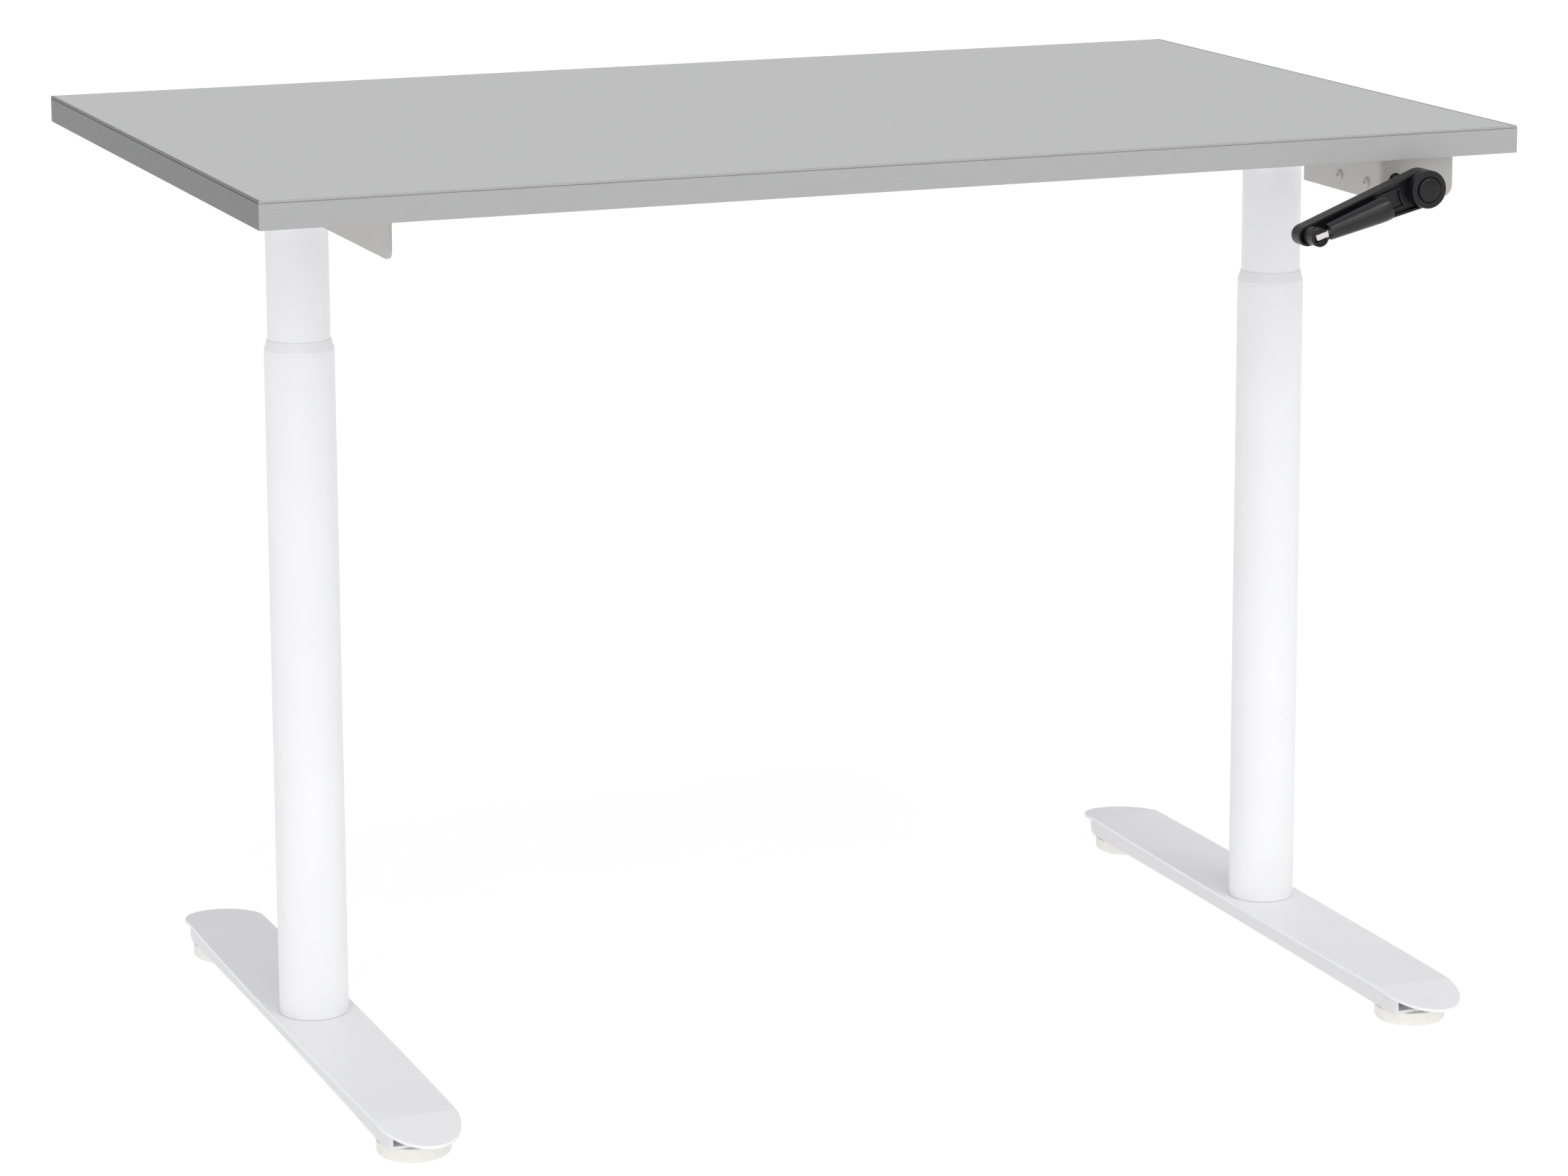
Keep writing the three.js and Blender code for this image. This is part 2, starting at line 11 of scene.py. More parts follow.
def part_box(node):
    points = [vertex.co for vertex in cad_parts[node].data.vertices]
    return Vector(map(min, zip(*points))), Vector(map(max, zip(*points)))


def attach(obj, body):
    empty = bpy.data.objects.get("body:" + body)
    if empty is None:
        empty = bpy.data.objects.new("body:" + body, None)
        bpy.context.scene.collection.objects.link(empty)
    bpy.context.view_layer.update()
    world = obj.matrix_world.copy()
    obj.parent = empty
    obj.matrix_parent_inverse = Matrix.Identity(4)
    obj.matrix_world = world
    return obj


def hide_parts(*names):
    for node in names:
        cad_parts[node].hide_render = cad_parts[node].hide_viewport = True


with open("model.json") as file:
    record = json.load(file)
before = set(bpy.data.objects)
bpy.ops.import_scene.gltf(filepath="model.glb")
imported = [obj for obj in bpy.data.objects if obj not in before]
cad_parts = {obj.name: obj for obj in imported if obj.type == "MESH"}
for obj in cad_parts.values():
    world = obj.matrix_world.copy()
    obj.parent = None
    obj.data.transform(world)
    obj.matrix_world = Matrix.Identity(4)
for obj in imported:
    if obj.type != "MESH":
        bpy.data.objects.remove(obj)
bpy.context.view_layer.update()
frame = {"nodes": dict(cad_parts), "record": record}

MM = 0.001
SIDES = ("left", "right")
ENDS = ("front", "rear")

# ------------------------------------------------------------------ dimensions the frame can't give

SHEET = 3 * MM                # steel sheet
GAP = 0.3 * MM                # between pieces that touch

FOOT_END_HALF_WIDTH = 38 * MM
FOOT_BEND = 318 * MM          # from the leg axis, along the foot
FOOT_BEND_ANGLE = math.radians(8)
FOOT_BEND_LENGTH = 6 * MM     # stretch of plate that the bend takes
FOOT_HALF_LENGTH = 380 * MM   # before the ends are bent down
CHANNEL_INSET = 5 * MM
STUD_HOLE = 5.4 * MM
BOLT_HOLE = 5.5 * MM

SCREW_SHANK = 2.5 * MM
SCREW_HOLE = 2.8 * MM
SHAFT_RADIUS = 5 * MM
SHAFT_HOLE = 5.3 * MM
ROD_HOLE = 5.2 * MM
PIN_HOLE = 1.8 * MM

BRACKET_CORNER = 14 * MM      # its right wall stops this far above the lower edge

ARM_TILT = math.radians(-17.3)
ARM_LENGTH = 124 * MM         # hub axis to the centre of the arm's round end
ARM_END_RADIUS = 9.5 * MM
ARM_RIM = 2.5 * MM
ARM_POCKET = 4 * MM
ARM_DEPTH = 16 * MM
HUB_RADIUS = 17.5 * MM
HUB_PROUD = 10 * MM           # in front of the arm
CAP_SEAT_RADIUS = 11.6 * MM
PIVOT_OUT = 121 * MM          # hub axis to the fold pin
PIVOT_Y = -383.6 * MM
BOSS_RADIUS = 8.5 * MM
GRIP_START = 12 * MM          # from the fold pin
GRIP_END = 76.5 * MM
GRIP_NARROW = 7.5 * MM
GRIP_WIDE = 11.4 * MM


def low(node):
    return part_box(node)[0]


def high(node):
    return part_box(node)[1]


def middle(node):
    return (low(node) + high(node)) / 2


def half_size(node):
    return (high(node) - low(node)) / 2


LEG = {side: middle(f"outer_tube_{side}") for side in SIDES}
DRIVE_Z = middle("cross_rod").z
CRANK_X = middle("crank_shaft").x
CRANK = Matrix.Translation((CRANK_X, 0, DRIVE_Z)) @ Matrix.Rotation(ARM_TILT, 4, "Y")

# ------------------------------------------------------------------ materials


class Finish:
    """A Principled material, with short ways to add texture to it. Sizes are in metres."""

    def __init__(self, name, colour, roughness, metallic=0.0):
        self.material = bpy.data.materials.new(name)
        self.material.use_nodes = True
        self.tree = self.material.node_tree
        self.surface = self.tree.nodes["Principled BSDF"]
        self.colour = colour
        self.surface.inputs["Base Color"].default_value = (*colour, 1)
        self.surface.inputs["Roughness"].default_value = roughness
        self.surface.inputs["Metallic"].default_value = metallic
        self.place = self.tree.nodes.new("ShaderNodeTexCoord").outputs["Object"]
        self.normal = None

    def noise(self, size, detail=3.0, stretch=(1, 1, 1)):
        mapping = self.tree.nodes.new("ShaderNodeMapping")
        mapping.inputs["Scale"].default_value = [1 / (size * s) for s in stretch]
        self.tree.links.new(self.place, mapping.inputs["Vector"])
        texture = self.tree.nodes.new("ShaderNodeTexNoise")
        texture.inputs["Scale"].default_value = 1
        texture.inputs["Detail"].default_value = detail
        self.tree.links.new(mapping.outputs["Vector"], texture.inputs["Vector"])
        return texture.outputs["Fac"]

    def specks(self, size):
        mapping = self.tree.nodes.new("ShaderNodeMapping")
        mapping.inputs["Scale"].default_value = (1 / size,) * 3
        self.tree.links.new(self.place, mapping.inputs["Vector"])
        texture = self.tree.nodes.new("ShaderNodeTexVoronoi")
        texture.inputs["Scale"].default_value = 1
        self.tree.links.new(mapping.outputs["Vector"], texture.inputs["Vector"])
        return texture.outputs["Distance"]

    def vary_colour(self, factor, darker, lighter):
        mix = self.tree.nodes.new("ShaderNodeValToRGB")
        for element, amount, place in zip(mix.color_ramp.elements, (darker, lighter), (0.3, 0.7)):
            element.color = (*[min(1.0, c * amount) for c in self.colour], 1)
            element.position = place
        self.tree.links.new(factor, mix.inputs["Fac"])
        self.tree.links.new(mix.outputs["Color"], self.surface.inputs["Base Color"])

    def vary_roughness(self, factor, lowest, highest):
        span = self.tree.nodes.new("ShaderNodeMapRange")
        span.inputs["From Min"].default_value = 0.3
        span.inputs["From Max"].default_value = 0.7
        span.inputs["To Min"].default_value = lowest
        span.inputs["To Max"].default_value = highest
        self.tree.links.new(factor, span.inputs["Value"])
        self.tree.links.new(span.outputs["Result"], self.surface.inputs["Roughness"])

    def bump(self, height, depth, strength=1.0):
        bump = self.tree.nodes.new("ShaderNodeBump")
        bump.inputs["Distance"].default_value = depth
        bump.inputs["Strength"].default_value = strength
        self.tree.links.new(height, bump.inputs["Height"])
        if self.normal is not None:
            self.tree.links.new(self.normal, bump.inputs["Normal"])
        self.normal = bump.outputs["Normal"]
        self.tree.links.new(self.normal, self.surface.inputs["Normal"])


def powder_coat(name="white_powder_coat", tone=0.88, tint=(0, 0, 0.015)):
    """White paint on steel. tone is how light it is, and tint is added to its red, green and blue."""
    finish = Finish(name, [tone + channel for channel in tint], 0.42)
    finish.vary_colour(finish.noise(60 * MM), 0.985, 1.01)
    finish.vary_roughness(finish.noise(9 * MM), 0.36, 0.46)
    finish.bump(finish.noise(1.6 * MM, detail=1.5), 0.03 * MM)
    finish.bump(finish.noise(0.35 * MM), 0.006 * MM)
    return finish.material


def laminate():
    finish = Finish("grey_laminate", (0.58, 0.581, 0.583), 0.48)
    finish.vary_colour(finish.noise(0.9 * MM, detail=4), 0.975, 1.02)
    finish.vary_roughness(finish.noise(3 * MM), 0.44, 0.52)
    finish.bump(finish.specks(0.7 * MM), 0.012 * MM)
    finish.bump(finish.noise(4 * MM, detail=2), 0.008 * MM)
    return finish.material


def edge_banding(name="grey_edge_band", tone=0.396):
    finish = Finish(name, (tone, tone, tone + 0.002), 0.42)
    streaks = finish.noise(1.2 * MM, detail=3, stretch=(12, 12, 1))
    finish.vary_colour(streaks, 0.97, 1.02)
    finish.vary_roughness(finish.noise(5 * MM), 0.38, 0.46)
    finish.bump(streaks, 0.008 * MM)
    return finish.material


def black_plastic(name="black_plastic", gloss=0.33):
    finish = Finish(name, (0.008, 0.0075, 0.009), 0.34)
    finish.vary_colour(finish.noise(5 * MM), 0.85, 1.2)
    finish.vary_roughness(finish.noise(2.5 * MM), 0.3, 0.36)
    finish.surface.inputs["Specular IOR Level"].default_value = gloss
    finish.bump(finish.noise(0.4 * MM), 0.001 * MM)
    finish.bump(finish.noise(7 * MM, detail=1), 0.008 * MM)
    return finish.material


def cream_plastic():
    finish = Finish("cream_plastic", (0.86, 0.85, 0.80), 0.5)
    finish.vary_colour(finish.noise(8 * MM), 0.97, 1.02)
    finish.vary_roughness(finish.noise(3 * MM), 0.44, 0.58)
    finish.bump(finish.noise(0.8 * MM), 0.012 * MM)
    return finish.material


def white_plastic():
    finish = Finish("white_plastic", (0.88, 0.88, 0.895), 0.42)
    finish.vary_colour(finish.noise(12 * MM), 0.985, 1.01)
    finish.vary_roughness(finish.noise(3 * MM), 0.36, 0.46)
    finish.bump(finish.noise(0.6 * MM), 0.008 * MM)
    return finish.material


def zinc_plate():
    finish = Finish("zinc_plated_steel", (0.56, 0.57, 0.58), 0.34, metallic=1.0)
    finish.vary_colour(finish.noise(3 * MM), 0.9, 1.06)
    finish.vary_roughness(finish.noise(1.5 * MM, stretch=(8, 1, 1)), 0.26, 0.42)
    finish.bump(finish.noise(0.5 * MM, stretch=(6, 1, 1)), 0.006 * MM)
    return finish.material


def polished_steel():
    finish = Finish("polished_steel", (0.72, 0.71, 0.69), 0.14, metallic=1.0)
    finish.vary_colour(finish.noise(2 * MM), 0.93, 1.04)
    finish.vary_roughness(finish.noise(0.8 * MM, stretch=(6, 1, 1)), 0.1, 0.2)
    finish.bump(finish.noise(0.3 * MM, stretch=(8, 1, 1)), 0.003 * MM)
    return finish.material


def cast_metal():
    finish = Finish("die_cast_metal", (0.42, 0.43, 0.44), 0.5, metallic=1.0)
    finish.vary_colour(finish.noise(6 * MM), 0.85, 1.08)
    finish.vary_roughness(finish.noise(2 * MM), 0.42, 0.62)
    finish.bump(finish.noise(0.9 * MM, detail=5), 0.05 * MM)
    return finish.material


LOOKS = {
    "white_steel": powder_coat(),
    "laminate_board": laminate(),
    "edge_banding": edge_banding(),
    "black_plastic": black_plastic(),
    "cream_plastic": cream_plastic(),
    "white_plastic": white_plastic(),
    "plain_steel": zinc_plate(),
    "cast_metal": cast_metal(),
}

# Pieces that always lie in the shade of the top or of a foot plate get a darker coat.
SHADED_COAT = powder_coat("shaded_powder_coat", 0.47, (0.014, 0, -0.006))
# The foot channels get a lighter grey coat than the white plates: painted shade from the plate above
# them.
CHANNEL_SHADE_COAT = powder_coat("channel_painted_shade_coat", 0.78)

# ------------------------------------------------------------------ mesh helpers


def made(bm):
    """An object from a bmesh, its faces pointing out."""
    bmesh.ops.recalc_face_normals(bm, faces=bm.faces)
    mesh = bpy.data.meshes.new("shape")
    bm.to_mesh(mesh)
    bm.free()
    obj = bpy.data.objects.new("shape", mesh)
    bpy.context.scene.collection.objects.link(obj)
    return obj


def lofted(rings, loop=False):
    """A closed skin over rings of the same number of points. A loop joins the last ring to the first."""
    bm = bmesh.new()
    rows = [[bm.verts.new(point) for point in ring] for ring in rings]
    pairs = list(zip(rows, rows[1:]))
    if loop:
        pairs.append((rows[-1], rows[0]))
    for this, following in pairs:
        for i in range(len(this)):
            j = (i + 1) % len(this)
            bm.faces.new((this[i], this[j], following[j], following[i]))
    if not loop:
        bm.faces.new(rows[0])
        bm.faces.new(rows[-1])
    return made(bm)


def softened(corners, closed=False, steps=5):
    """Points along an outline of (a, b) or (a, b, radius) corners, the latter rounded."""
    points = []
    count = len(corners)
    for i, corner in enumerate(corners):
        here = Vector(corner[:2])
        radius = corner[2] if len(corner) > 2 else 0
        at_end = not closed and i in (0, count - 1)
        if radius == 0 or at_end:
            points.append(here)
            continue
        before = Vector(corners[i - 1][:2])
        after = Vector(corners[(i + 1) % count][:2])
        start = here + (before - here).normalized() * radius
        end = here + (after - here).normalized() * radius
        for step in range(steps + 1):
            t = step / steps
            points.append(start.lerp(here, t).lerp(here.lerp(end, t), t))
    return points


AXIS_POINT = {
    "X": lambda centre, a, b, along: (along, centre[1] + a, centre[2] + b),
    "Y": lambda centre, a, b, along: (centre[0] + a, along, centre[2] + b),
    "Z": lambda centre, a, b, along: (centre[0] + a, centre[1] + b, along),
}


def turned(profile, centre=(0, 0, 0), axis="Z", loop=False, steps=96, ripple=None):
    """A turned shape from (radius, place along the axis) corners. ripple scales the radius by angle."""
    place = AXIS_POINT[axis]
    rings = []
    for radius, along in softened(profile, closed=loop):
        ring = []
        for i in range(steps):
            angle = 2 * math.pi * i / steps
            r = radius * (ripple(angle) if ripple else 1)
            ring.append(place(centre, r * math.cos(angle), r * math.sin(angle), along))
        rings.append(ring)
    return lofted(rings, loop)


def prism(outline, start, end, axis="Z"):
    """An outline pushed along an axis. Its points are (y, z) for X, (x, z) for Y and (x, y) for Z."""
    place = AXIS_POINT[axis]
    return lofted([[place((0, 0, 0), a, b, along) for a, b in outline] for along in (start, end)])


def block(lo, hi):
    outline = [(lo[0], lo[1]), (hi[0], lo[1]), (hi[0], hi[1]), (lo[0], hi[1])]
    return prism(outline, lo[2], hi[2])


def rounded_rectangle(a0, a1, b0, b1, radius):
    corners = [(a0, b0, radius), (a1, b0, radius), (a1, b1, radius), (a0, b1, radius)]
    return softened(corners, closed=True, steps=8)


def hexagon(centre_a, centre_b, radius):
    angles = [math.pi * i / 3 for i in range(6)]
    return [(centre_a + radius * math.cos(t), centre_b + radius * math.sin(t)) for t in angles]


def applied(obj):
    """Works the object's modifiers into its mesh."""
    graph = bpy.context.evaluated_depsgraph_get()
    mesh = bpy.data.meshes.new_from_object(obj.evaluated_get(graph))
    obj.modifiers.clear()
    obj.data = mesh
    return obj


def carved(base, join=(), meet=(), cut=()):
    for operation, shapes in (("UNION", join), ("INTERSECT", meet), ("DIFFERENCE", cut)):
        for shape in shapes:
            modifier = base.modifiers.new("carve", "BOOLEAN")
            modifier.operation = operation
            modifier.solver = "EXACT"
            modifier.object = shape
            applied(base)
            bpy.data.objects.remove(shape)
    return base


def eased(obj, width, segments=3, angle=32):
    """Rounds every edge sharper than the angle."""
    modifier = obj.modifiers.new("edges", "BEVEL")
    modifier.width = width
    modifier.segments = segments
    modifier.limit_method = "ANGLE"
    modifier.angle_limit = math.radians(angle)
    return applied(obj)


def shaded(obj, sharp=38):
    """Smooth shading that stops at edges sharper than the angle."""
    bm = bmesh.new()
    bm.from_mesh(obj.data)
    for face in bm.faces:
        face.smooth = True
    for edge in bm.edges:
        edge.smooth = len(edge.link_faces) == 2 and edge.calc_face_angle(0) < math.radians(sharp)
    bm.to_mesh(obj.data)
    bm.free()
    modifier = obj.modifiers.new("flats", "WEIGHTED_NORMAL")
    modifier.keep_sharp = True


def show(obj, name, slot, body, nodes=(), look=None):
    """Hands a finished shape over to the frame, in place of the CAD nodes given."""
    obj.name = name
    obj.data.name = name
    obj.data.materials.clear()
    obj.data.materials.append(look or LOOKS[slot])
    shaded(obj)
    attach(obj, body)
    if nodes:
        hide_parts(*nodes)


def stand_in(obj, node, slot, body, look=None):
    """Shows a shape in place of the one CAD node that it is named after."""
    show(obj, f"{node}_shape", slot, body, [node], look)


# ------------------------------------------------------------------ tabletop


def edge_band(node, axis, inside):
    """Strip along one edge of the board, with a fine groove under its top. inside is its inner face."""
    lo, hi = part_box(node)
    across = 1 if axis == "X" else 0
    face = lo[across] if inside > lo[across] else hi[across]
    inward = math.copysign(1, inside - face)
    groove_top = hi.z - 1.6 * MM
    groove_bottom = hi.z - 2.4 * MM
    depth = face + inward * 0.9 * MM
    section = [(inside, lo.z), (face, lo.z), (face, groove_bottom), (depth, groove_bottom)]
    section += [(depth, groove_top), (face, groove_top), (face, hi.z), (inside, hi.z)]
    along = 0 if axis == "X" else 1
    return eased(prism(section, lo[along], hi[along], axis), 0.25 * MM)


def make_top():
    stand_in(eased(block(*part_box("table_panel")), 0.35 * MM), "table_panel", "laminate_board", "lift")
    # The short bands at the left and right ends get a much darker tone than the long ones: painted
    # shade, as if they faced away from the light.
    shaded_short_band = edge_banding("painted_shade_edge_band", 0.145)
    for name in ("front", "rear", "left", "right"):
        node = f"edge_band_{name}"
        runs_along_x = name in ("front", "rear")
        inner_corner = high(node) if name in ("front", "left") else low(node)
        inside = inner_corner.y if runs_along_x else inner_corner.x
        band = edge_band(node, "X" if runs_along_x else "Y", inside)
        stand_in(band, node, "edge_banding", "lift", None if runs_along_x else shaded_short_band)


# ------------------------------------------------------------------ legs


def tube(node, wall, edge=0.4 * MM):
    centre = middle(node)
    outer = half_size(node).x
    bottom, top = low(node).z, high(node).z
    profile = [(outer - wall, bottom, edge), (outer, bottom, edge)]
    profile += [(outer, top, edge), (outer - wall, top, edge)]
    return turned(profile, centre, loop=True, steps=128)


def collar(side):
    """Plastic guide ring, pressed into the mouth of the lower tube, with a sloped shoulder."""
    node = f"collar_{side}"
    bottom, top = low(node).z, high(node).z
    outer = half_size(node).x
    bore = half_size(f"inner_tube_{side}").x + 0.5 * MM
    wiper = bore - 0.4 * MM
    tube_top = high(f"outer_tube_{side}").z
    skirt = outer - 1.8 * MM
    lip = tube_top + 0.04 * MM
    shoulder = lip + 2.7 * MM
    profile = [(bore, bottom), (skirt, bottom, 0.3 * MM), (skirt, lip), (outer, lip, 0.1 * MM)]
    profile += [(outer, shoulder, 1.6 * MM), (wiper + 0.4 * MM, top, 0.3 * MM)]
    profile += [(wiper, top), (wiper, shoulder), (bore, lip)]
    return turned(profile, LEG[side], loop=True, steps=128)


def make_legs():
    for side in SIDES:
        outer_tube = tube(f"outer_tube_{side}", 1.5 * MM, edge=0.1 * MM)
        stand_in(outer_tube, f"outer_tube_{side}", "white_steel", "base")
        stand_in(tube(f"inner_tube_{side}", 2 * MM), f"inner_tube_{side}", "white_steel", "lift")
        stand_in(collar(side), f"collar_{side}", "white_plastic", "base")


# ------------------------------------------------------------------ feet


def foot_outline(x, y, half_width, inset, steps=40):
    """Plan of a foot: widest under the leg, drawn in to the ends, each end a half ellipse."""
    end = FOOT_END_HALF_WIDTH - inset
    bulge = half_width - FOOT_END_HALF_WIDTH
    depth = FOOT_HALF_LENGTH - inset - FOOT_BEND
    points = []
    for turn in (1, -1):
        for i in range(steps):
            t = 2 * i / steps - 1
            points.append((x + turn * (end + bulge * (1 - t * t)), y + turn * FOOT_BEND * t))
        for i in range(steps):
            angle = math.pi * i / steps
            across = end * math.cos(angle)
            along = FOOT_BEND + depth * math.sin(angle)
            points.append((x + turn * across, y + turn * along))
    return points


def foot_plate(side):
    """Flat plate whose two ends are bent down."""
    leg = LEG[side]
    node = f"foot_plate_{side}"
    top = high(node).z
    outline = foot_outline(leg.x, leg.y, half_size(node).x, 0)
    plate = carved(
        prism(outline, top - SHEET, top),
        cut=[turned([(BOLT_HOLE, 0), (BOLT_HOLE, 2 * top)], leg, steps=48)],
    )
    start = FOOT_BEND - FOOT_BEND_LENGTH / 2
    bm = bmesh.new()
    bm.from_mesh(plate.data)
    cuts = 4
    for end in (-1, 1):
        for i in range(cuts + 1):
            y = leg.y + end * (start + FOOT_BEND_LENGTH * i / cuts)
            parts = list(bm.verts) + list(bm.edges) + list(bm.faces)
            bmesh.ops.bisect_plane(bm, geom=parts, plane_co=(0, y, 0), plane_no=(0, 1, 0))
    radius = FOOT_BEND_LENGTH / FOOT_BEND_ANGLE
    for vert in bm.verts:
        end = math.copysign(1, vert.co.y - leg.y)
        past = abs(vert.co.y - leg.y) - start
        if past <= 0:
            continue
        angle = FOOT_BEND_ANGLE * min(past / FOOT_BEND_LENGTH, 1)
        beyond = max(past - FOOT_BEND_LENGTH, 0)
        reach = radius - (top - vert.co.z)
        out = start + reach * math.sin(angle) + beyond * math.cos(angle)
        vert.co.y = leg.y + end * out
        vert.co.z = top - radius + reach * math.cos(angle) - beyond * math.sin(angle)
    bm.to_mesh(plate.data)
    bm.free()
    return eased(plate, 0.9 * MM)


def foot_channel(side):
    """Channel under the plate: open at the front, swept up like a boat's stern at the rear."""
    leg = LEG[side]
    node = f"foot_channel_{side}"
    lo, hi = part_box(node)
    half_width = half_size(f"foot_plate_{side}").x
    half_length = (hi.y - lo.y) / 2
    drop = (half_length - FOOT_BEND) * math.tan(FOOT_BEND_ANGLE)
    radius = hi.z - drop - lo.z - 2 * MM
    stern = leg.y + half_length - radius
    profile = [(lo.y, lo.z), (stern, lo.z)]
    steps = 12
    for i in range(1, steps + 1):
        angle = math.pi / 2 * i / steps
        profile.append((stern + radius * math.sin(angle), lo.z + radius * (1 - math.cos(angle))))
    profile += [(hi.y, hi.z - drop), (leg.y + FOOT_BEND, hi.z)]
    profile += [(leg.y - FOOT_BEND, hi.z), (lo.y, hi.z - drop)]
    wide = 2 * half_width
    above = 2 * hi.z
    channel = carved(
        prism(profile, leg.x - wide, leg.x + wide, "X"),
        meet=[prism(foot_outline(leg.x, leg.y, half_width - CHANNEL_INSET, CHANNEL_INSET), 0, above)],
    )
    inset = CHANNEL_INSET + SHEET
    hollow = carved(
        prism(foot_outline(leg.x, leg.y, half_width - inset, inset), lo.z + SHEET, above),
        meet=[block((leg.x - wide, leg.y - 2 * half_length, 0), (leg.x + wide, stern, above))],
    )
    holes = [turned([(BOLT_HOLE, 0), (BOLT_HOLE, above)], leg, steps=48)]
    for end in ENDS:
        stud = middle(f"level_stud_{side}_{end}")
        holes.append(turned([(STUD_HOLE, 0), (STUD_HOLE, above)], stud, steps=48))
    return eased(carved(channel, cut=[hollow] + holes), 0.5 * MM)


def level_pad(node):
    """Levelling pad with a finely fluted rim."""
    centre = middle(node)
    radius = half_size(node).x
    top = high(node).z
    socket = 5.3 * MM
    flutes = 72
    profile = [(radius - 6 * MM, 0.8 * MM), (radius - 5 * MM, 0, 0.6 * MM)]
    profile += [(radius - 2.2 * MM, 0, 1.5 * MM), (radius, 2.8 * MM, 1.5 * MM)]
    profile += [(radius, top, 0.7 * MM), (socket, top, 0.3 * MM), (socket, 6 * MM)]
    depth = 0.12 * MM / radius

    def fluted(angle):
        return 1 - depth * (1 - abs(math.cos(flutes * angle / 2)))

    return turned(profile, centre, steps=flutes * 4, ripple=fluted)


def leg_bolt(side):
    """Socket head bolt that holds the leg to the foot."""
    node = f"leg_bolt_{side}"
    lo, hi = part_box(node)
    head = half_size(node).x
    seat = low(f"foot_channel_{side}").z - GAP
    shank = 5 * MM
    profile = [(head - 1 * MM, lo.z, 0.3 * MM), (head, lo.z + 1 * MM, 0.3 * MM), (head, seat)]
    profile += [(shank, seat), (shank, hi.z - 1 * MM), (shank - 1 * MM, hi.z)]
    socket = prism(hexagon(LEG[side].x, LEG[side].y, 4.6 * MM), lo.z - 1 * MM, lo.z + 3.5 * MM)
    return carved(turned(profile, LEG[side], steps=48), cut=[socket])


def make_feet():
    for side in SIDES:
        stand_in(foot_plate(side), f"foot_plate_{side}", "white_steel", "base")
        # The channel's darker coat is painted shade from the plate above it.
        stand_in(foot_channel(side), f"foot_channel_{side}", "white_steel", "base", CHANNEL_SHADE_COAT)
        stand_in(leg_bolt(side), f"leg_bolt_{side}", "plain_steel", "base")
        for end in ENDS:
            node = f"level_pad_{side}_{end}"
            stand_in(level_pad(node), node, "cream_plastic", f"pad_{side}_{end}")


# ------------------------------------------------------------------ frame under the top


def side_arm(side):
    """Folded angle under the top: an upright web in the leg's plane and a flange towards the middle."""
    node = f"side_arm_{side}"
    lo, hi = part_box(node)
    x = LEG[side].x
    inward = 1 if side == "left" else -1
    outer, inner = x - inward * SHEET / 2, x + inward * SHEET / 2
    tip = hi.x if side == "left" else lo.x
    below = hi.z - SHEET
    section = softened(
        [
            (outer, lo.z),
            (inner, lo.z),
            (inner, below, 1.5 * MM),
            (tip, below),
            (tip, hi.z),
            (outer, hi.z, 3 * MM),
        ],
        closed=True,
    )
    corner = 12 * MM
    wide = 100 * MM
    web_corners = [(lo.y, hi.z), (lo.y, lo.z, corner), (hi.y, lo.z, corner), (hi.y, hi.z)]
    web = softened(web_corners, closed=True, steps=14)
    slot, reach = 19 * MM, 10 * MM
    slot_start = (x - reach, LEG[side].y - slot, lo.z - slot)
    cuts = [block(slot_start, (x + reach, LEG[side].y + slot, below))]
    for end in ENDS:
        screw = middle(f"top_screw_{side}_{end}")
        hole = [(SCREW_HOLE, below - SHEET), (SCREW_HOLE, hi.z + SHEET)]
        cuts.append(turned(hole, screw, steps=32))
    arm = carved(prism(section, lo.y, hi.y, "Y"), meet=[prism(web, x - wide, x + wide, "X")], cut=cuts)
    return eased(arm, 0.45 * MM)


def top_screw(node):
    """Pan head screw into the board, with a cross recess."""
    lo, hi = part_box(node)
    centre = middle(node)
    head = half_size(node).x
    seat = lo.z + 3 * MM
    profile = [(1 * MM, lo.z), (head - 1.6 * MM, lo.z, 0.8 * MM), (head, seat - 1 * MM, 0.5 * MM)]
    profile += [(head, seat), (SCREW_SHANK, seat), (SCREW_SHANK, hi.z - 2 * MM), (0.4 * MM, hi.z)]
    recess = []
    long, short = 2.4 * MM, 0.45 * MM
    for a, b in ((long, short), (short, long)):
        slot_start = (centre.x - a, centre.y - b, lo.z - 1 * MM)
        slot_end = (centre.x + a, centre.y + b, lo.z + 1.6 * MM)
        recess.append(block(slot_start, slot_end))
    return carved(turned(profile, centre, steps=48), cut=recess)


def crossbeam():
    lo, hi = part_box("crossbeam")
    wall = 2 * MM
    outer = rounded_rectangle(lo.y, hi.y, lo.z, hi.z, 5 * MM)
    inner = rounded_rectangle(lo.y + wall, hi.y - wall, lo.z + wall, hi.z - wall, 3 * MM)
    beam = prism(outer, lo.x, hi.x, "X")
    return eased(carved(beam, cut=[prism(inner, lo.x - wall, hi.x + wall, "X")]), 0.3 * MM)


def beam_end(side):
    lo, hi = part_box(f"beam_end_{side}")
    outline = rounded_rectangle(lo.y, hi.y, lo.z, hi.z, 5 * MM)
    return eased(prism(outline, lo.x, hi.x, "X"), 0.4 * MM)


def head_plate(side):
    lo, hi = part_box(f"head_plate_{side}")
    corner, spindle_hole = 9 * MM, 10 * MM
    plate = prism(rounded_rectangle(lo.x, hi.x, lo.y, hi.y, corner), lo.z, hi.z)
    hole = turned([(spindle_hole, lo.z - SHEET), (spindle_hole, hi.z + SHEET)], LEG[side], steps=64)
    return eased(carved(plate, cut=[hole]), 0.4 * MM)


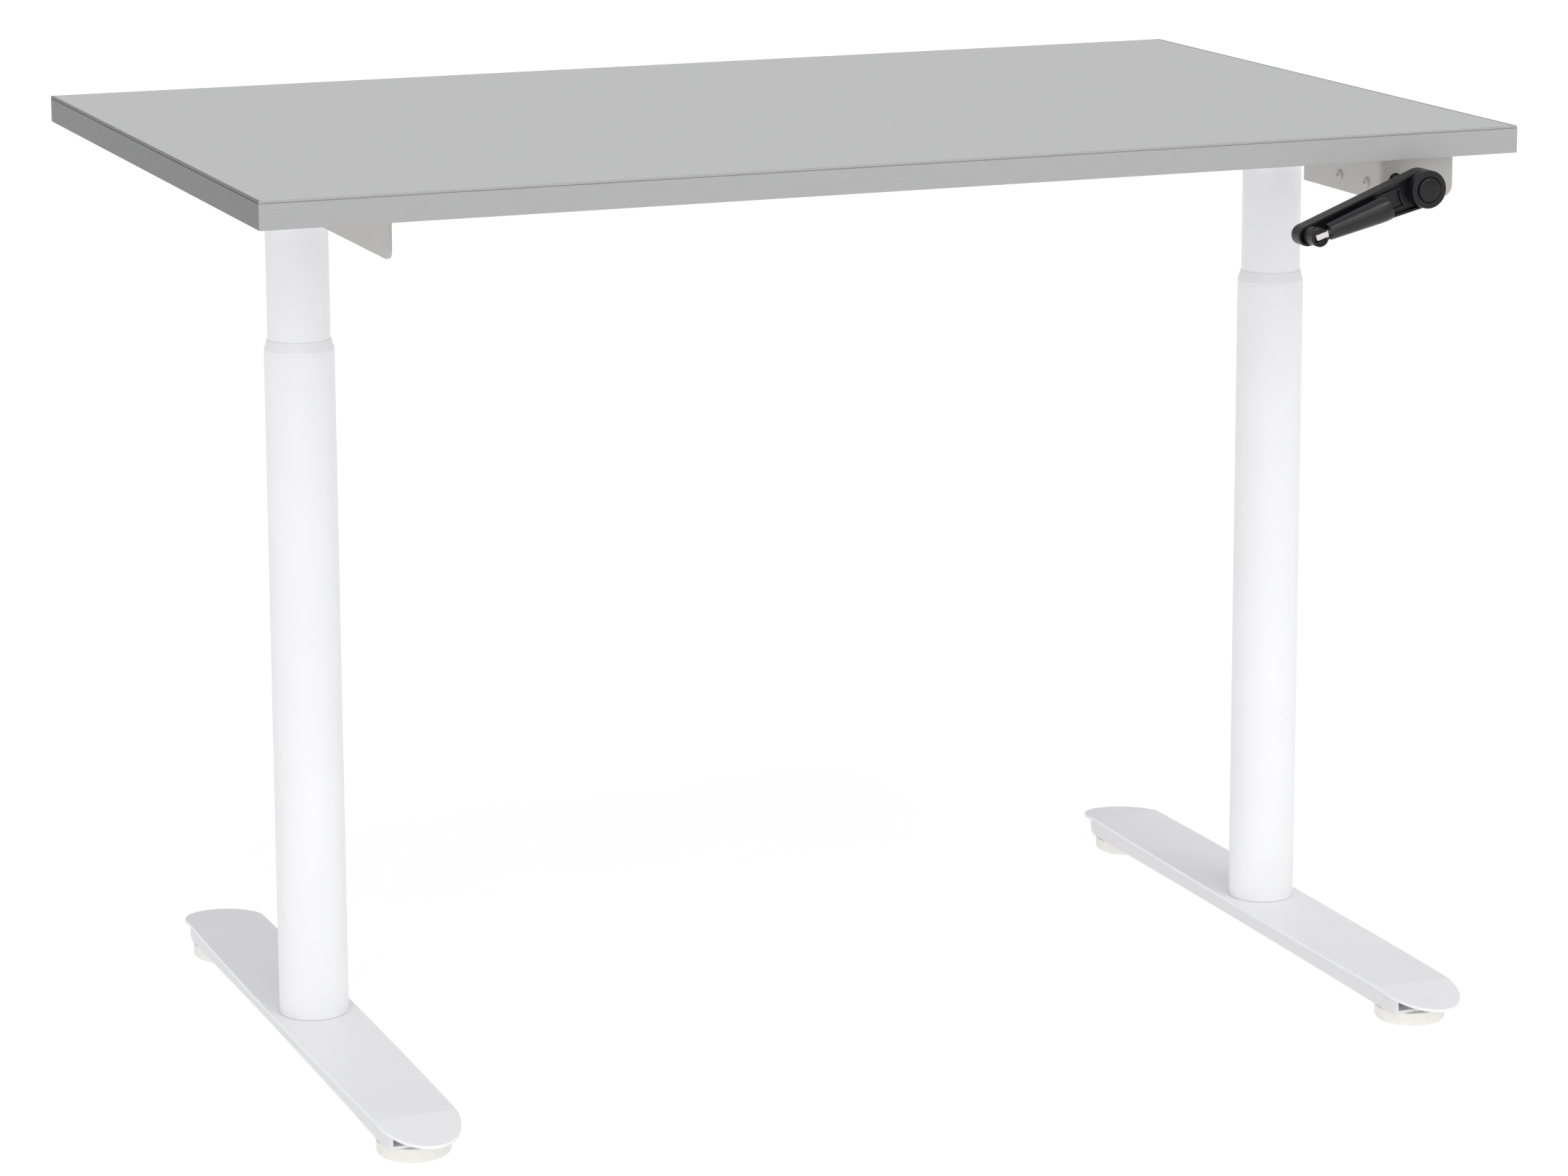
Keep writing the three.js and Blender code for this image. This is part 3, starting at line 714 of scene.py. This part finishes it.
def gearbox(side):
    """Die-cast housing around the bevel gears, open on top."""
    lo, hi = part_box(f"gearbox_{side}")
    wall = SHEET
    spindle_hole = 7 * MM
    body = prism(rounded_rectangle(lo.x, hi.x, lo.y, hi.y, 3.5 * MM), lo.z, hi.z)
    hollow = block((lo.x + wall, lo.y + wall, lo.z + wall), (hi.x - wall, hi.y - wall, hi.z + wall))
    rod_hole = [(ROD_HOLE, hi.x - 2 * wall), (ROD_HOLE, hi.x + wall)]
    if side == "right":
        rod_hole = [(ROD_HOLE, lo.x - wall), (ROD_HOLE, lo.x + 2 * wall)]
    cuts = [
        hollow,
        turned(rod_hole, (0, LEG[side].y, DRIVE_Z), "X", steps=48),
        turned([(spindle_hole, lo.z - wall), (spindle_hole, lo.z + 2 * wall)], LEG[side], steps=48),
    ]
    if side == "right":
        shaft_hole = [(SHAFT_HOLE + GAP, lo.y - wall), (SHAFT_HOLE + GAP, lo.y + 2 * wall)]
        cuts.append(turned(shaft_hole, (CRANK_X, 0, DRIVE_Z), "Y", steps=48))
    return eased(carved(body, cut=cuts), 0.5 * MM)


def make_frame():
    for side in SIDES:
        stand_in(side_arm(side), f"side_arm_{side}", "white_steel", "lift", SHADED_COAT)
        stand_in(beam_end(side), f"beam_end_{side}", "white_steel", "lift")
        stand_in(head_plate(side), f"head_plate_{side}", "white_steel", "lift")
        stand_in(gearbox(side), f"gearbox_{side}", "cast_metal", "lift")
        for end in ENDS:
            node = f"top_screw_{side}_{end}"
            stand_in(top_screw(node), node, "plain_steel", "lift")
    stand_in(crossbeam(), "crossbeam", "white_steel", "lift")


# ------------------------------------------------------------------ crank bracket


def crank_bracket():
    """Folded sheet box for the crank shaft, open below and behind. Its right wall stops short."""
    lo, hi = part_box("crank_bracket")
    fold, reach = 4 * MM, 10 * MM
    outer_corners = [(lo.x, hi.y), (lo.x, lo.y, fold), (hi.x, lo.y, fold), (hi.x, hi.y)]
    outer = softened(outer_corners, closed=True, steps=8)
    x0, x1, y0 = lo.x + SHEET, hi.x - SHEET, lo.y + SHEET
    behind = hi.y + reach
    inner_fold = fold - 2.5 * MM
    inner_corners = [(x0, behind), (x0, y0, inner_fold), (x1, y0, inner_fold), (x1, behind)]
    inner = softened(inner_corners, closed=True, steps=8)
    opening = 7 * MM
    shaft_hole = [(opening, lo.y - reach), (opening, lo.y + reach)]
    cuts = [
        prism(inner, lo.z - reach, hi.z - SHEET),
        turned(shaft_hole, (CRANK_X, 0, DRIVE_Z), "Y", steps=64),
    ]
    corner = BRACKET_CORNER
    below, beside = lo.z - corner, hi.x + corner
    offcut = [(hi.x - corner, below), (beside, below), (beside, lo.z + corner)]
    steps = 12
    for i in range(steps + 1):
        angle = -math.pi / 2 * i / steps
        offcut.append((hi.x - corner * (1 - math.cos(angle)), lo.z + corner * (1 + math.sin(angle))))
    cuts.append(prism(offcut, lo.y - corner, y0, "Y"))
    cuts.append(block((x1 - 1 * MM, y0, below), (beside, behind, lo.z + corner)))
    for end in ENDS:
        hole = [(SCREW_HOLE, lo.x - 5 * MM), (SCREW_HOLE, lo.x + 5 * MM)]
        cuts.append(turned(hole, middle(f"bearing_screw_{end}"), "X", steps=32))
    return eased(carved(prism(outer, lo.z, hi.z), cut=cuts), 0.5 * MM)


def bearing_screw(end):
    """Domed screw head on the bracket's left wall, with a hexagonal socket."""
    node = f"bearing_screw_{end}"
    lo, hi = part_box(node)
    centre = middle(node)
    head = half_size(node).y
    seat = low("crank_bracket").x - GAP
    profile = [(1.2 * MM, lo.x), (head - 2 * MM, lo.x, 1.2 * MM), (head, seat - 0.3 * MM, 0.2 * MM)]
    profile += [(head, seat), (SCREW_SHANK, seat), (SCREW_SHANK, hi.x)]
    socket = prism(hexagon(centre.y, centre.z, 1.7 * MM), lo.x - 1 * MM, lo.x + 1.3 * MM, "X")
    return carved(turned(profile, centre, "X", steps=64), cut=[socket])


def shaft_bearing():
    lo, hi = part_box("shaft_bearing")
    bore = [(SHAFT_HOLE, lo.y - 5 * MM), (SHAFT_HOLE, hi.y + 5 * MM)]
    cuts = [turned(bore, (CRANK_X, 0, DRIVE_Z), "Y", steps=64)]
    for end in ENDS:
        pilot = [(SCREW_HOLE, lo.x - 5 * MM), (SCREW_HOLE, lo.x + 5.5 * MM)]
        cuts.append(turned(pilot, middle(f"bearing_screw_{end}"), "X", steps=32))
    return eased(carved(block(lo, hi), cut=cuts), 0.8 * MM)


def make_bracket():
    stand_in(crank_bracket(), "crank_bracket", "white_steel", "lift", SHADED_COAT)
    stand_in(shaft_bearing(), "shaft_bearing", "black_plastic", "lift")
    for end in ENDS:
        stand_in(bearing_screw(end), f"bearing_screw_{end}", "white_steel", "lift", SHADED_COAT)


# ------------------------------------------------------------------ crank


def bar_outline(inset, steps=36):
    """Two circles joined by their outer tangents: the hub's at the origin, the arm end's along -X."""
    radius, end_radius = HUB_RADIUS - inset, ARM_END_RADIUS - inset
    lean = math.asin((radius - end_radius) / ARM_LENGTH)
    turn = math.pi / 2 + lean
    points = []
    for i in range(steps + 1):
        angle = -turn + 2 * turn * i / steps
        points.append((radius * math.cos(angle), radius * math.sin(angle)))
    for i in range(steps + 1):
        angle = turn + (2 * math.pi - 2 * turn) * i / steps
        points.append((-ARM_LENGTH + end_radius * math.cos(angle), end_radius * math.sin(angle)))
    return points


def in_crank(obj, offset=(0, 0, 0)):
    """Moves a shape from the crank's own axes, tilted about the hub, to where the crank is."""
    obj.data.transform(CRANK @ Matrix.Translation(offset))
    return obj


def crank_arm(front, rear, hub_front):
    """Tapered arm with a rimmed recess, a hub, a boss for the handle and a frame that holds the grip."""
    floor = front + ARM_POCKET
    levels = softened(
        [
            (8 * MM, rear),
            (0, rear, 1.6 * MM),
            (0, front, 0.9 * MM),
            (ARM_RIM, front, 0.6 * MM),
            (ARM_RIM + 0.4 * MM, floor, 0.8 * MM),
            (6 * MM, floor),
        ]
    )
    body = lofted([[(x, y, z) for x, z in bar_outline(inset)] for inset, y in levels])
    hub = turned(
        [
            (HUB_RADIUS, rear - 4 * MM),
            (HUB_RADIUS, hub_front, 1.3 * MM),
            (CAP_SEAT_RADIUS + 0.6 * MM, hub_front, 0.4 * MM),
            (CAP_SEAT_RADIUS, hub_front + 1.5 * MM),
        ],
        axis="Y",
        steps=128,
    )
    boss_front = PIVOT_Y - 7 * MM
    pivot = (-PIVOT_OUT, 0, 0)
    boss = turned(
        [
            (BOSS_RADIUS + 0.8 * MM, floor + 1 * MM),
            (BOSS_RADIUS, floor - 2 * MM, 1 * MM),
            (BOSS_RADIUS, boss_front, 0.9 * MM),
            (BOSS_RADIUS - 1.6 * MM, boss_front, 0.5 * MM),
            (BOSS_RADIUS - 2.1 * MM, boss_front + 1.6 * MM, 0.4 * MM),
            (2 * MM, boss_front + 1.6 * MM),
        ],
        pivot,
        "Y",
        steps=96,
    )
    cuts = [
        turned([(SHAFT_HOLE, PIVOT_Y + 5 * MM), (SHAFT_HOLE, rear + 5 * MM)], axis="Y", steps=64),
        block(
            (-PIVOT_OUT - 5 * MM, PIVOT_Y - 10 * MM, -3.4 * MM),
            (-PIVOT_OUT + 12 * MM, PIVOT_Y + 4.5 * MM, 3.4 * MM),
        ),
        turned([(PIN_HOLE, -12 * MM), (PIN_HOLE, 12 * MM)], (-PIVOT_OUT, PIVOT_Y, 0), "Z", steps=32),
    ]
    return carved(body, join=[hub, boss, grip_frame(floor)], cut=cuts)


def grip_frame(floor):
    """Low wall in the recess, around where the grip's wide end lies, hollowed next to the hub."""
    half_width, wall = 9.4 * MM, 1.4 * MM
    start, end = -51 * MM, -20 * MM
    hub_clearance = 23.5 * MM
    height = 2.2 * MM
    top = floor - height
    above = top - height
    outside = rounded_rectangle(start, end, -half_width, half_width, 1.5 * MM)
    inside = rounded_rectangle(start + wall, end, wall - half_width, half_width - wall, 1 * MM)
    around_hub = [
        turned([(radius, above - height), (radius, floor + height)], axis="Y", steps=128)
        for radius in (hub_clearance, hub_clearance + wall)
    ]
    room = carved(prism(inside, above, floor, "Y"), cut=[around_hub[1]])
    return carved(prism(outside, top, floor + 1 * MM, "Y"), cut=[around_hub[0], room])


def hub_cap(front, back):
    """Plain, slightly domed cap."""
    radius = half_size("hub_cap").x
    profile = [
        (radius, back),
        (radius, front + 1.9 * MM, 0.5 * MM),
        (radius - 1.3 * MM, front + 0.9 * MM, 0.6 * MM),
        (radius - 2 * MM, front + 1.1 * MM, 0.5 * MM),
        (radius * 0.55, front + 0.35 * MM, 3 * MM),
        (0.5 * MM, front + 0.1 * MM),
    ]
    return turned(profile, axis="Y", steps=128)


def grip():
    """Tapered sleeve, widest at its free end."""
    bore = 3.4 * MM
    profile = [
        (bore, GRIP_END - 6.5 * MM),
        (bore, GRIP_START, 0.3 * MM),
        (GRIP_NARROW, GRIP_START, 0.8 * MM),
        (GRIP_NARROW + 0.4 * MM, GRIP_START + 6 * MM, 4 * MM),
        (GRIP_WIDE, GRIP_END - 7 * MM, 5 * MM),
        (GRIP_WIDE - 0.5 * MM, GRIP_END - 1 * MM, 1.2 * MM),
        (GRIP_WIDE - 3 * MM, GRIP_END, 1.5 * MM),
        (0.5 * MM, GRIP_END),
    ]
    return turned(profile, axis="X", steps=128)


def tongue():
    """Flat steel end of the handle's spindle, around the fold pin, and the round rod in the grip."""
    radius, steps = 4 * MM, 24
    outline = [(10 * MM, -radius), (10 * MM, radius)]
    for i in range(steps + 1):
        angle = math.pi / 2 + math.pi * i / steps
        outline.append((radius * math.cos(angle), radius * math.sin(angle)))
    flat = eased(prism(outline, -3 * MM, 3 * MM), 0.5 * MM)
    rod_radius = 3 * MM
    rod = turned([(rod_radius, 9 * MM), (rod_radius, 68 * MM)], axis="X", steps=48)
    hole = turned([(PIN_HOLE, -5 * MM), (PIN_HOLE, 5 * MM)], steps=32)
    return carved(flat, join=[rod], cut=[hole])


def crank_shaft():
    """Round shaft from the hub to the bevel gear that drives the cross rod."""
    lo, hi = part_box("crank_shaft")
    gear, gear_face = 11.6 * MM, 6 * MM
    bevel = 0.5 * MM
    profile = [(SHAFT_RADIUS - bevel, lo.y), (SHAFT_RADIUS, lo.y + bevel)]
    profile += [(SHAFT_RADIUS, hi.y - gear_face), (gear, hi.y - gear_face), (gear - gear_face, hi.y)]
    return turned(profile, (CRANK_X, 0, DRIVE_Z), "Y", steps=64)


def make_crank():
    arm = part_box("crank_arm")
    rear = arm[1].y
    front = rear - ARM_DEPTH
    hub_front = front - HUB_PROUD
    stand_in(in_crank(crank_arm(front, rear, hub_front)), "crank_arm", "black_plastic", "crank")
    cap = hub_cap(low("hub_cap").y, high("hub_cap").y)
    stand_in(in_crank(cap), "hub_cap", "black_plastic", "crank")
    stand_in(crank_shaft(), "crank_shaft", "plain_steel", "crank")
    at_pivot = (-PIVOT_OUT, PIVOT_Y, 0)
    glossy = black_plastic("glossy_black_plastic", 0.45)
    stand_in(in_crank(grip(), at_pivot), "grip_sleeve", "black_plastic", "grip", glossy)
    steel = polished_steel()
    stand_in(in_crank(tongue(), at_pivot), "grip_spindle", "plain_steel", "handle", steel)


# ------------------------------------------------------------------ CAD pieces that stay


def dress_cad_nodes():
    """Gives every CAD node the look of its material slot."""
    for entry in frame["record"]["subparts"]:
        mesh = frame["nodes"][entry["node"]].data
        mesh.materials.clear()
        mesh.materials.append(LOOKS[entry["material_slot"]])


# ------------------------------------------------------------------ floor, light and camera


def make_floor():
    """Wide pale floor that gives off some light, so that it comes out white."""
    size = 60.0
    mesh = bpy.data.meshes.new("floor")
    corners = [(-size, -size, 0), (size, -size, 0), (size, size, 0), (-size, size, 0)]
    mesh.from_pydata(corners, [], [(0, 1, 2, 3)])
    floor = bpy.data.objects.new("floor", mesh)
    bpy.context.scene.collection.objects.link(floor)
    finish = Finish("pale_floor", (0.25, 0.25, 0.25), 0.8)
    finish.surface.inputs["Emission Color"].default_value = (1, 1, 1, 1)
    finish.surface.inputs["Emission Strength"].default_value = 0.795
    finish.vary_roughness(finish.noise(0.2), 0.75, 0.85)
    mesh.materials.append(finish.material)


def make_light():
    """Even light from all round, a wide soft key and a small lamp that gives the plastic its shine."""
    world = bpy.data.worlds.new("studio")
    bpy.context.scene.world = world
    world.use_nodes = True
    background = world.node_tree.nodes["Background"]
    background.inputs["Color"].default_value = (1, 1, 1, 1)
    background.inputs["Strength"].default_value = 0.61
    lamps = (
        ("key", 0.9, 60, (-0.08, -0.28, 0.17)),
        ("glint", 0.42, 16, (0.15, -0.43, 0.89)),
    )
    for name, strength, angle, from_light in lamps:
        lamp = bpy.data.lights.new(name, "SUN")
        lamp.energy = strength
        lamp.angle = math.radians(angle)
        sun = bpy.data.objects.new(name, lamp)
        bpy.context.scene.collection.objects.link(sun)
        sun.rotation_mode = "QUATERNION"
        sun.rotation_quaternion = Vector(from_light).to_track_quat("Z", "Y")
    bpy.context.scene.view_settings.view_transform = "Standard"


def make_camera():
    """A long lens in front of the desk, to its left and above it, looking slightly down."""
    place = Vector((-1.662, -4.2102, 1.4636))
    yaw, pitch, roll = math.radians(21.675), math.radians(10.94), math.radians(0.2)
    data = bpy.data.cameras.new("camera")
    data.sensor_width = 36.0
    data.lens = 110.68
    data.shift_y = -0.12
    data.clip_end = 200
    ahead = Vector((math.sin(yaw) * math.cos(pitch), math.cos(yaw) * math.cos(pitch), -math.sin(pitch)))
    level = Vector((math.cos(yaw), -math.sin(yaw), 0))
    down = ahead.cross(level)
    right = level * math.cos(roll) + down * math.sin(roll)
    up = level * math.sin(roll) - down * math.cos(roll)
    camera = bpy.data.objects.new("camera", data)
    turn = Matrix((right, up, -ahead)).transposed()
    camera.matrix_world = Matrix.Translation(place) @ turn.to_4x4()
    bpy.context.scene.collection.objects.link(camera)
    bpy.context.scene.camera = camera


dress_cad_nodes()
make_top()
make_legs()
make_feet()
make_frame()
make_bracket()
make_crank()
make_floor()
make_light()
make_camera()
